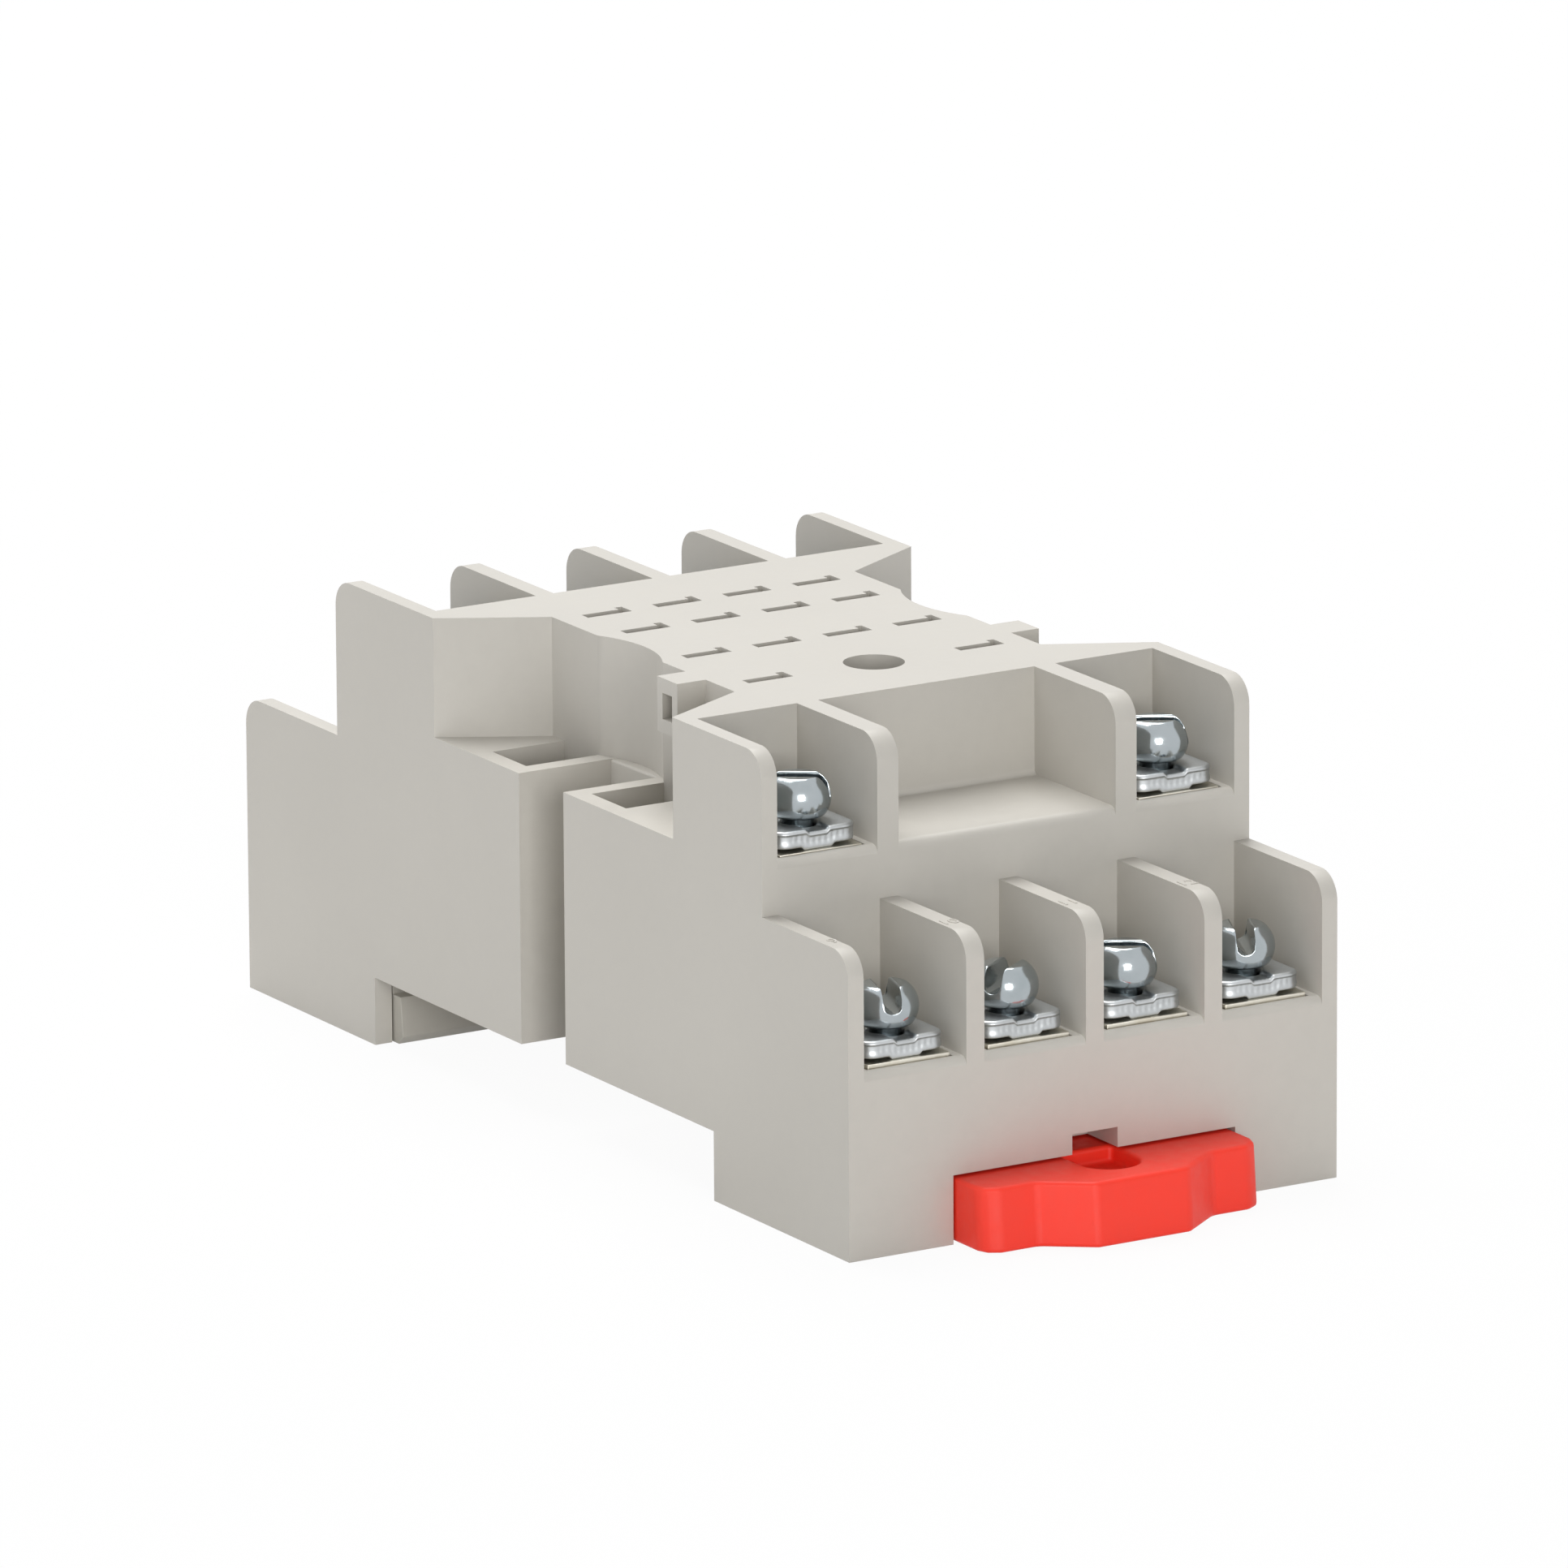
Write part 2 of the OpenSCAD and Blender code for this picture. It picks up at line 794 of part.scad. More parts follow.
housing();
base_cover();
rail_clip();
terminal_1();
terminal_2();
terminal_3();
terminal_4();
terminal_5();
terminal_6();
terminal_7();
terminal_8();
terminal_9();
terminal_10();
terminal_11();
terminal_12();
terminal_13();
terminal_14();
clamp_plate_1();
clamp_plate_2();
clamp_plate_3();
clamp_plate_4();
clamp_plate_5();
clamp_plate_6();
clamp_plate_7();
clamp_plate_8();
clamp_plate_9();
clamp_plate_10();
clamp_plate_11();
clamp_plate_12();
clamp_plate_13();
clamp_plate_14();
clamp_screw_1();
clamp_screw_2();
clamp_screw_3();
clamp_screw_4();
clamp_screw_5();
clamp_screw_6();
clamp_screw_7();
clamp_screw_8();
clamp_screw_9();
clamp_screw_10();
clamp_screw_11();
clamp_screw_12();
clamp_screw_13();
clamp_screw_14();
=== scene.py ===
# %% [markdown]
# # A relay socket: finish, light and camera
#
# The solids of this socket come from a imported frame: one moulded housing, the cover under it, a red
# sliding clip, and fourteen terminals, each with a strip, a clamp plate and a screw. The frame fixes
# every size and place. This lesson gives the solids what a plain solid lacks: soft moulded edges, a fine
# grain, stamped and serrated plates, bright screws with a real thread, an upright grip on the clip, a ledge
# on each side of the waist, and raised numbers.
# Everything is in metres. `MM` turns a maker's millimetres into metres.

# %% Load the frame
import math

import bmesh
import bpy
import mathutils
import mathutils.bvhtree
import numpy as np
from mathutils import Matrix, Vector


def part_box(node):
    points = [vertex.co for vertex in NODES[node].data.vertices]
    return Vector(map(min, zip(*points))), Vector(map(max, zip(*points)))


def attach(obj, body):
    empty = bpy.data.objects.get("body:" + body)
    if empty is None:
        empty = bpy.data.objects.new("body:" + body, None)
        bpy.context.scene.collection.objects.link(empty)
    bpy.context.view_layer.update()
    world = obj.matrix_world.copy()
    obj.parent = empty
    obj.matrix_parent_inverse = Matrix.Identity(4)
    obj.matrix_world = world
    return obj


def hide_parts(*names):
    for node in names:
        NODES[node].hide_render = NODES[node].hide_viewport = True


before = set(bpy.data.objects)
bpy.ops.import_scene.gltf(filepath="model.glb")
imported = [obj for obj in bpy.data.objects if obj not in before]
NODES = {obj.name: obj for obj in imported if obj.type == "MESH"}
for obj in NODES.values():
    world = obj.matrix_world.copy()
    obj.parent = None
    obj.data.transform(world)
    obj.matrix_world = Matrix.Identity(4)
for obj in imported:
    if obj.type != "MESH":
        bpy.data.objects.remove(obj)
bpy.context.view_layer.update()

MM = 0.001
TERMINALS = range(1, 15)

# %% [markdown]
# ## Camera
#
# A small part is seen here through a long lens from almost a metre away, so that its parallel edges stay
# nearly parallel. The camera is set by a place, a direction and a small roll.
# Its three axes are built as columns of a matrix: right, up, and back towards the viewer.

# %% Camera
CAMERA_PLACE = np.array([-0.43318, -0.72282, 0.23723])
CAMERA_AZIMUTH = math.radians(-30.9496)
CAMERA_ELEVATION = math.radians(14.6762)
CAMERA_ROLL = math.radians(-0.3431)
CAMERA_LENS = 372.28
SENSOR_WIDTH = 36.0
CLIP_START = 0.01
CLIP_END = 20.0


def camera_axes(azimuth, elevation, roll):
    """Right, up and back unit vectors: back points to the viewer, and roll turns the other two about it."""
    back = np.array([
        math.sin(azimuth) * math.cos(elevation),
        -math.cos(azimuth) * math.cos(elevation),
        math.sin(elevation)])
    right = np.array([math.cos(azimuth), math.sin(azimuth), 0.0])
    up = np.cross(back, right)
    turned_right = math.cos(roll) * right + math.sin(roll) * up
    turned_up = math.cos(roll) * up - math.sin(roll) * right
    return turned_right, turned_up, back


def add_camera():
    """The scene's camera. Its matrix holds the three axes as columns, and then the place."""
    data = bpy.data.cameras.new("studio_camera")
    data.sensor_width = SENSOR_WIDTH
    data.lens = CAMERA_LENS
    data.clip_start = CLIP_START
    data.clip_end = CLIP_END
    camera = bpy.data.objects.new("studio_camera", data)
    bpy.context.scene.collection.objects.link(camera)
    pose = np.eye(4)
    pose[:3, :3] = np.column_stack(camera_axes(CAMERA_AZIMUTH, CAMERA_ELEVATION, CAMERA_ROLL))
    pose[:3, 3] = CAMERA_PLACE
    camera.matrix_world = mathutils.Matrix(pose.tolist())
    bpy.context.scene.camera = camera


add_camera()
print("camera distance, mm:", round(float(np.linalg.norm(CAMERA_PLACE)) / MM, 1))

# %% [markdown]
# ## Studio
#
# The socket stands on a plain white floor under plain soft light. Large lamps give soft shadows in the
# bays. The background has to read as pure white while the lamps stay at a plain level, so the world and
# the floor answer camera, glossy and transmission rays with white of strength 1. The metal then mirrors
# the same white that the eye sees round it. Only the diffuse rays, which carry the light, meet a greyer
# room. A share of the floor's own shading stays, which keeps the contact shadow.

# %% World and floor
FILL_LEVEL = 0.28
FILL_COLOR = (0.97, 0.98, 1.0, 1)
WHITE = (1, 1, 1, 1)
WHITE_LEVEL = 1.0
FLOOR_COLOR = (0.80, 0.80, 0.80, 1)
FLOOR_ROUGHNESS = 0.9
FLOOR_WHITE_SHARE = 0.95
FLOOR_HALF_SIZE = 1.6
FLOOR_GAP = 0.02 * MM


def new_material(name):
    """An empty node material, with its node and link lists."""
    material = bpy.data.materials.new(name)
    material.use_nodes = True
    material.node_tree.nodes.clear()
    return material, material.node_tree.nodes, material.node_tree.links


def seen_directly(nodes, links):
    """1 for camera, glossy and transmission rays, 0 for the diffuse rays that light the object."""
    path = nodes.new("ShaderNodeLightPath")
    seen = path.outputs["Is Camera Ray"]
    for label in ("Is Glossy Ray", "Is Transmission Ray"):
        either = nodes.new("ShaderNodeMath")
        either.operation = "MAXIMUM"
        links.new(seen, either.inputs[0])
        links.new(path.outputs[label], either.inputs[1])
        seen = either.outputs[0]
    return seen


def set_world():
    """White where a ray sees the world directly, and the greyer fill light for every other ray."""
    world = bpy.data.worlds.new("studio_world")
    world.use_nodes = True
    bpy.context.scene.world = world
    nodes, links = world.node_tree.nodes, world.node_tree.links
    nodes.clear()
    fill = nodes.new("ShaderNodeBackground")
    fill.inputs["Color"].default_value = FILL_COLOR
    fill.inputs["Strength"].default_value = FILL_LEVEL
    white = nodes.new("ShaderNodeBackground")
    white.inputs["Color"].default_value = WHITE
    white.inputs["Strength"].default_value = WHITE_LEVEL
    mix = nodes.new("ShaderNodeMixShader")
    output = nodes.new("ShaderNodeOutputWorld")
    links.new(seen_directly(nodes, links), mix.inputs["Fac"])
    links.new(fill.outputs[0], mix.inputs[1])
    links.new(white.outputs[0], mix.inputs[2])
    links.new(mix.outputs[0], output.inputs["Surface"])


def add_floor():
    """One square just under the feet. A set share of what a ray sees directly is plain white, the rest
    is the floor's own shading, with the object's shadow in it."""
    material, nodes, links = new_material("studio_floor")
    shader = nodes.new("ShaderNodeBsdfPrincipled")
    shader.inputs["Base Color"].default_value = FLOOR_COLOR
    shader.inputs["Roughness"].default_value = FLOOR_ROUGHNESS
    white = nodes.new("ShaderNodeEmission")
    white.inputs["Strength"].default_value = WHITE_LEVEL
    share = nodes.new("ShaderNodeMath")
    share.operation = "MULTIPLY"
    share.inputs[1].default_value = FLOOR_WHITE_SHARE
    mix = nodes.new("ShaderNodeMixShader")
    output = nodes.new("ShaderNodeOutputMaterial")
    links.new(seen_directly(nodes, links), share.inputs[0])
    links.new(share.outputs[0], mix.inputs["Fac"])
    links.new(shader.outputs[0], mix.inputs[1])
    links.new(white.outputs[0], mix.inputs[2])
    links.new(mix.outputs[0], output.inputs["Surface"])
    mesh = bpy.data.meshes.new("studio_floor")
    corners = FLOOR_HALF_SIZE * np.array([(-1, -1), (1, -1), (1, 1), (-1, 1)])
    mesh.from_pydata([(x, y, -FLOOR_GAP) for x, y in corners.tolist()], [], [(0, 1, 2, 3)])
    mesh.materials.append(material)
    floor = bpy.data.objects.new("studio_floor", mesh)
    bpy.context.scene.collection.objects.link(floor)


bpy.context.scene.view_settings.view_transform = "Standard"
set_world()
add_floor()
print("fill light level:", FILL_LEVEL)

# %% [markdown]
# ## Lamps
#
# Three area lamps stand round the socket. The strongest is a wide one above and behind it: it lights the
# relay seat and the tops of the walls, and leaves the bays in soft shade. A front lamp opens the bays and
# puts a small highlight on the round screw heads, and a side lamp lights the long flank. Each is aimed at
# the middle of the object.

# %% Lamps
LAMPS = {
    "top_lamp": {"place": (0.05, 0.42, 0.92), "size": 0.80, "watts": 10.5},
    "front_lamp": {"place": (-0.30, -0.95, 0.22), "size": 0.36, "watts": 3.9},
    "side_lamp": {"place": (-0.95, 0.00, 0.40), "size": 0.50, "watts": 1.15},
}
LAMP_COLOR = (1.0, 0.995, 0.985)
LAMP_TARGET = mathutils.Vector((0, 0, 12 * MM))


def add_lamp(name, place, size, watts):
    """A square lamp whose back axis points from the target to the lamp, so that it shines on the target."""
    data = bpy.data.lights.new(name, "AREA")
    data.shape = "SQUARE"
    data.size = size
    data.energy = watts
    data.color = LAMP_COLOR
    lamp = bpy.data.objects.new(name, data)
    bpy.context.scene.collection.objects.link(lamp)
    lamp.location = place
    towards = LAMP_TARGET - mathutils.Vector(place)
    lamp.rotation_euler = towards.to_track_quat("-Z", "Y").to_euler()


for lamp_name, values in LAMPS.items():
    add_lamp(lamp_name, **values)
print("lamps:", ", ".join(LAMPS))

# %% [markdown]
# ## Shader groups
#
# Several plastics and metals share the same small effects, so each effect is a node group that is built
# once. `moulded_grain` gives the faint unevenness of injection-moulded plastic: a fine bump from the
# eroded steel of the mould, a slow drift of the tone, and a slightly varied roughness. `plated_skin`
# does the same for zinc and nickel: tiny pits, a slow change of tone and small smears in the gloss.
# Both read Object coordinates, which are the same metres as the frame, so the grain has a real size.

# %% Group helpers
def new_group(name, inputs, outputs):
    """A shader group with float inputs {name: default} and outputs {name: socket type}."""
    group = bpy.data.node_groups.new(name, "ShaderNodeTree")
    for label, value in inputs.items():
        kind = "NodeSocketColor" if isinstance(value, tuple) else "NodeSocketFloat"
        socket = group.interface.new_socket(name=label, in_out="INPUT", socket_type=kind)
        socket.default_value = value
    for label, kind in outputs.items():
        group.interface.new_socket(name=label, in_out="OUTPUT", socket_type=kind)
    given = group.nodes.new("NodeGroupInput")
    result = group.nodes.new("NodeGroupOutput")
    return group, group.nodes, group.links, given, result


def noise(nodes, links, vector, scale, detail=2.0, roughness=0.5):
    """Cloudy values round one half, with scale waves to the metre."""
    node = nodes.new("ShaderNodeTexNoise")
    node.inputs["Scale"].default_value = scale
    node.inputs["Detail"].default_value = detail
    node.inputs["Roughness"].default_value = roughness
    links.new(vector, node.inputs["Vector"])
    return node.outputs["Fac"]


def remap(nodes, links, value, low, high, new_low, new_high):
    """The value moved in proportion from one range to another, and held at the new range's ends."""
    node = nodes.new("ShaderNodeMapRange")
    node.inputs["From Min"].default_value = low
    node.inputs["From Max"].default_value = high
    for label, end in (("To Min", new_low), ("To Max", new_high)):
        if isinstance(end, (int, float)):
            node.inputs[label].default_value = end
        else:
            links.new(end, node.inputs[label])
    links.new(value, node.inputs["Value"])
    return node.outputs["Result"]


def calculate(nodes, links, operation, first, second):
    """One sum, difference, product or other operation on two numbers or sockets."""
    node = nodes.new("ShaderNodeMath")
    node.operation = operation
    for index, value in enumerate((first, second)):
        if isinstance(value, (int, float)):
            node.inputs[index].default_value = value
        else:
            links.new(value, node.inputs[index])
    return node.outputs[0]


MIX_FACTOR, MIX_FIRST, MIX_SECOND, MIX_RESULT = 0, 6, 7, 2


def tint(nodes, links, factor, first, second, blend="MIX"):
    """The first colour blended with the second by the factor. The names give the colour sockets' places."""
    node = nodes.new("ShaderNodeMix")
    node.data_type = "RGBA"
    node.blend_type = blend
    for place, value in ((MIX_FACTOR, factor), (MIX_FIRST, first), (MIX_SECOND, second)):
        if isinstance(value, (int, float, tuple)):
            node.inputs[place].default_value = value
        else:
            links.new(value, node.inputs[place])
    return node.outputs[MIX_RESULT]


print("group helpers: noise, remap, calculate, tint")


# %% Moulded grain
DRIFT_SCALE = 90.0
MOTTLE_SCALE = 1400.0
GRAIN_SCALE = 9000.0
DRIFT_SHARE = 0.6
GLOSS_SWING = 0.05


def build_moulded_grain():
    """The colour times a level that swings by half the drift either way round 1, a roughness that swings
    with the mottle, and the finest noise as the height."""
    group, nodes, links, given, result = new_group(
        "moulded_grain",
        {"Color": (0.5, 0.5, 0.5, 1), "Drift": 0.04, "Roughness": 0.45},
        {"Color": "NodeSocketColor", "Roughness": "NodeSocketFloat", "Height": "NodeSocketFloat"})
    place = nodes.new("ShaderNodeTexCoord").outputs["Object"]
    slow = noise(nodes, links, place, DRIFT_SCALE, 3.0)
    mottle = noise(nodes, links, place, MOTTLE_SCALE, 2.0)
    fine = noise(nodes, links, place, GRAIN_SCALE, 2.0, 0.6)
    half_drift = calculate(nodes, links, "MULTIPLY", given.outputs["Drift"], 0.5)
    darker = calculate(nodes, links, "SUBTRACT", 1.0, half_drift)
    lighter = calculate(nodes, links, "ADD", 1.0, half_drift)
    mixed = calculate(nodes, links, "ADD",
                      calculate(nodes, links, "MULTIPLY", slow, DRIFT_SHARE),
                      calculate(nodes, links, "MULTIPLY", mottle, 1 - DRIFT_SHARE))
    level = remap(nodes, links, mixed, 0.3, 0.7, darker, lighter)
    shade = nodes.new("ShaderNodeCombineColor")
    for channel in ("Red", "Green", "Blue"):
        links.new(level, shade.inputs[channel])
    color = tint(nodes, links, 1.0, given.outputs["Color"], shade.outputs[0], "MULTIPLY")
    gloss = remap(nodes, links, mottle, 0.3, 0.7, -GLOSS_SWING, GLOSS_SWING)
    links.new(color, result.inputs["Color"])
    links.new(calculate(nodes, links, "ADD", given.outputs["Roughness"], gloss), result.inputs["Roughness"])
    links.new(fine, result.inputs["Height"])
    return group


moulded_grain = build_moulded_grain()
print("group:", moulded_grain.name, "nodes:", len(moulded_grain.nodes))


# %% Plated skin
CLOUD_SCALE = 700.0
PIT_SCALE = 5200.0


def build_plated_skin():
    """The colour moved towards the stain by the cloud times the stain's share, a roughness that the pits
    raise a little, and the pits as the height."""
    group, nodes, links, given, result = new_group(
        "plated_skin",
        {"Color": (0.8, 0.8, 0.8, 1), "Stain": (0.5, 0.5, 0.45, 1), "Stain Share": 0.2, "Roughness": 0.2},
        {"Color": "NodeSocketColor", "Roughness": "NodeSocketFloat", "Height": "NodeSocketFloat"})
    place = nodes.new("ShaderNodeTexCoord").outputs["Object"]
    cloud = noise(nodes, links, place, CLOUD_SCALE, 4.0)
    pits = noise(nodes, links, place, PIT_SCALE, 3.0, 0.65)
    patch = remap(nodes, links, cloud, 0.45, 0.7, 0.0, 1.0)
    share = calculate(nodes, links, "MULTIPLY", patch, given.outputs["Stain Share"])
    color = tint(nodes, links, share, given.outputs["Color"], given.outputs["Stain"])
    links.new(color, result.inputs["Color"])
    smear = remap(nodes, links, pits, 0.35, 0.7, -0.04, 0.08)
    links.new(calculate(nodes, links, "ADD", given.outputs["Roughness"], smear), result.inputs["Roughness"])
    links.new(pits, result.inputs["Height"])
    return group


plated_skin = build_plated_skin()
print("group:", plated_skin.name, "nodes:", len(plated_skin.nodes))

# %% [markdown]
# ## Materials
#
# Each material holds its own Principled shader and one Bump node. The group only hands it a colour, a
# roughness and a height. Values that are the same all over, such as Metallic, sit on the shader itself.

# %% Materials
PLASTIC_IOR = 1.5
GRAIN_DEPTH = 0.004 * MM


def skinned(name, group, values, depth):
    """A Principled shader that takes its colour, roughness and height from a group. The height goes
    through a bump of the given depth."""
    material, nodes, links = new_material(name)
    shader = nodes.new("ShaderNodeBsdfPrincipled")
    skin = nodes.new("ShaderNodeGroup")
    skin.node_tree = group
    for label, value in values.items():
        skin.inputs[label].default_value = value
    bump = nodes.new("ShaderNodeBump")
    bump.inputs["Distance"].default_value = depth
    output = nodes.new("ShaderNodeOutputMaterial")
    links.new(skin.outputs["Color"], shader.inputs["Base Color"])
    links.new(skin.outputs["Roughness"], shader.inputs["Roughness"])
    links.new(skin.outputs["Height"], bump.inputs["Height"])
    links.new(bump.outputs["Normal"], shader.inputs["Normal"])
    links.new(shader.outputs[0], output.inputs["Surface"])
    return material, shader


def plastic(name, color, roughness, drift):
    """Moulded plastic in one colour, whose tone drifts by the given share."""
    values = {"Color": (*color, 1), "Drift": drift, "Roughness": roughness}
    material, shader = skinned(name, moulded_grain, values, GRAIN_DEPTH)
    shader.inputs["IOR"].default_value = PLASTIC_IOR
    return material


def metal(name, color, stain, stain_share, roughness, pit_depth):
    """Plated metal with patches that go towards the stain's colour by the given share."""
    values = {"Color": (*color, 1), "Stain": (*stain, 1), "Stain Share": stain_share, "Roughness": roughness}
    material, shader = skinned(name, plated_skin, values, pit_depth)
    shader.inputs["Metallic"].default_value = 1.0
    return material


housing_grey = plastic("housing_grey", (0.560, 0.538, 0.492), 0.46, 0.05)
cover_grey = plastic("cover_grey", (0.500, 0.480, 0.430), 0.50, 0.05)
clip_red = plastic("clip_red", (0.97, 0.040, 0.018), 0.50, 0.04)
strip_brass = metal("strip_brass", (0.78, 0.75, 0.66), (0.50, 0.42, 0.28), 0.35, 0.33, 0.002 * MM)
plate_zinc = metal("plate_zinc", (0.54, 0.56, 0.57), (0.38, 0.40, 0.40), 0.40, 0.40, 0.003 * MM)
screw_nickel = metal("screw_nickel", (0.42, 0.46, 0.48), (0.27, 0.33, 0.34), 0.30, 0.15, 0.001 * MM)
print("materials:", len(bpy.data.materials))

# %% [markdown]
# ## Softened mouldings
#
# A moulded edge is never sharp: the mould rounds it by a fraction of a millimetre, and that thin line
# catches the light. A CAD node's mesh is loose triangles, so a copy is merged first. Flat faces are
# joined again, and a Bevel modifier then rounds every edge that turns by more than a set angle, both
# outer and inner ones. The facets of the round stretches turn by less, so they stay smooth.

# %% Copy, merge and soften a node
MERGE_DISTANCE = 0.002 * MM
FLAT_ANGLE = math.radians(0.6)
ROUND_FROM_ANGLE = math.radians(28)
SHARP_ANGLE = math.radians(35)
NORMAL_WEIGHT = 60


def joined_faces(mesh):
    """Merge the mesh's doubled points and join its flat faces, in place."""
    work = bmesh.new()
    work.from_mesh(mesh)
    bmesh.ops.remove_doubles(work, verts=work.verts, dist=MERGE_DISTANCE)
    bmesh.ops.dissolve_limit(work, angle_limit=FLAT_ANGLE, verts=work.verts, edges=work.edges)
    work.to_mesh(mesh)
    work.free()


def merged_copy(node_name, piece_name):
    """A copy of a node's mesh with its doubled points merged and its flat faces joined."""
    mesh = NODES[node_name].data.copy()
    mesh.name = piece_name
    joined_faces(mesh)
    return mesh


def smooth_faces(mesh):
    """Shade every face of the mesh as part of a curved surface."""
    mesh.polygons.foreach_set("use_smooth", np.ones(len(mesh.polygons), dtype=bool))


def link_piece(name, mesh, material, body):
    """A finished piece at the origin: its material, and the body that it rides on."""
    mesh.materials.clear()
    mesh.materials.append(material)
    piece = bpy.data.objects.new(name, mesh)
    bpy.context.scene.collection.objects.link(piece)
    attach(piece, body)
    return piece


def soften(piece, width, segments=2):
    """Round edges with a Bevel modifier, and even out the shading with weighted normals."""
    smooth_faces(piece.data)
    piece.data.set_sharp_from_angle(angle=SHARP_ANGLE)
    bevel = piece.modifiers.new("soft_edges", "BEVEL")
    bevel.width = width
    bevel.segments = segments
    bevel.limit_method = "ANGLE"
    bevel.angle_limit = ROUND_FROM_ANGLE
    bevel.miter_outer = "MITER_ARC"
    bevel.use_clamp_overlap = True
    bevel.harden_normals = False
    weights = piece.modifiers.new("even_shading", "WEIGHTED_NORMAL")
    weights.keep_sharp = False
    weights.weight = NORMAL_WEIGHT
    return piece


def dress_node(node_name, piece_name, material, body, width, segments=2):
    """A softened copy of a node that stands for it."""
    piece = link_piece(piece_name, merged_copy(node_name, piece_name), material, body)
    soften(piece, width, segments)
    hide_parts(node_name)
    print(piece_name, "faces before rounding:", len(piece.data.polygons))


print("edges are rounded where they turn by more than, degrees:", round(math.degrees(ROUND_FROM_ANGLE)))

# %% Housing, cover and strips
HOUSING_ROUNDING = 0.22 * MM
COVER_ROUNDING = 0.12 * MM
STRIP_ROUNDING = 0.05 * MM

dress_node("housing", "housing_moulding", housing_grey, "base", HOUSING_ROUNDING, 3)
dress_node("base_cover", "cover_moulding", cover_grey, "base", COVER_ROUNDING)
for number in TERMINALS:
    strip = f"terminal_strip_{number}"
    dress_node(f"terminal_{number}", strip, strip_brass, "base", STRIP_ROUNDING)

# %% [markdown]
# ## Surfaces from arrays
#
# The screws and plates are grids of points: one direction runs round the piece, the other along a path
# over it. Whole arrays are worked out at once, and one small function turns a grid into a mesh. A path is
# first drawn with many points, then laid out again at even steps along its length, so that each ring of
# the grid stays a smooth curve.

# %% Grid helpers
def even_steps(path, count):
    """A polyline laid out again as count points at equal distances along its own length."""
    lengths = np.concatenate([[0.0], np.cumsum(np.linalg.norm(np.diff(path, axis=0), axis=1))])
    wanted = np.linspace(0.0, lengths[-1], count)
    return np.column_stack([np.interp(wanted, lengths, path[:, axis]) for axis in range(path.shape[1])])


def eased(value):
    """0 below 0, 1 above 1, and 3v2 - 2v3 in between, so that both ends are level."""
    held = np.clip(value, 0.0, 1.0)
    return held * held * (3.0 - 2.0 * held)


def turn_faces_out(mesh):
    """Point every face of a closed mesh outwards, in place."""
    work = bmesh.new()
    work.from_mesh(mesh)
    bmesh.ops.recalc_face_normals(work, faces=work.faces)
    work.to_mesh(mesh)
    work.free()


def grid_mesh(name, grid, ends=True):
    """Rows of rings become quads. With ends, the first and last ring close on their own middle point;
    without, the last ring joins the first, which makes a ring-shaped skin."""
    rows, columns, _ = grid.shape
    index = np.arange(rows * columns).reshape(rows, columns)
    beside = np.roll(index, -1, axis=1)
    quads = np.stack([index, beside, np.roll(beside, -1, axis=0), np.roll(index, -1, axis=0)], axis=-1)
    faces = (quads[:-1] if ends else quads).reshape(-1, 4).tolist()
    points = grid.reshape(-1, 3)
    if ends:
        middles = np.array([grid[0].mean(axis=0), grid[-1].mean(axis=0)])
        first, last = len(points), len(points) + 1
        points = np.vstack([points, middles])
        faces += [(first, b, a) for a, b in zip(index[0].tolist(), beside[0].tolist())]
        faces += [(last, a, b) for a, b in zip(index[-1].tolist(), beside[-1].tolist())]
    mesh = bpy.data.meshes.new(name)
    mesh.from_pydata(points.tolist(), [], faces)
    turn_faces_out(mesh)
    smooth_faces(mesh)
    return mesh


def box_of(node_name):
    """The lowest, middle and highest point of a node's box, in metres."""
    low, high = (np.array(corner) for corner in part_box(node_name))
    return low, 0.5 * (low + high), high


print("grid helpers: even_steps, eased, turn_faces_out, grid_mesh, box_of")


# %% [markdown]
# ## Clamp screws
#
# A clamp screw of this kind is cold-headed from wire: its head is a tall drum with a crowned side, cut by
# one deep slot with a round bottom, and the whole screw is nickel bright. Below it is a thin neck, which
# carries the plate, and a rolled thread. In each half-plane through the axis the path climbs the
# crown until it meets the slot, turns over a small lip, and follows the slot's own outline to the middle.
# The thread is a radius that depends on height and angle together, so one turn climbs one pitch.

# %% Screw head
HEAD_RADIUS = 1.78
CROWN_RADIUS = 1.45
HEAD_HEIGHT = 2.15
CROWN_LEVEL = 0.45 * HEAD_HEIGHT
CROWN_FOOT = 0.06
SLOT_HALF = 0.5
SLOT_FLOOR = 0.4 * HEAD_HEIGHT
SLOT_EDGE = 0.07
LIP = 0.08
LEAST_SINE = 0.02
CLOSE = 1e-9
CROWN_STEPS = 400
SLOT_STEPS = 800
OUTLINE_STEPS = 900
LEVEL_STEPS = 500
FLAT_STEPS = 60
CROWN_RINGS = 16
SLOT_RINGS = 34


def crown_width(level):
    """Half the head's width at a level: the crown's centre plus the circle's own half-width there."""
    inner = HEAD_RADIUS - CROWN_RADIUS
    return inner + np.sqrt(np.maximum(CROWN_RADIUS ** 2 - (level - CROWN_LEVEL) ** 2, 0.0))


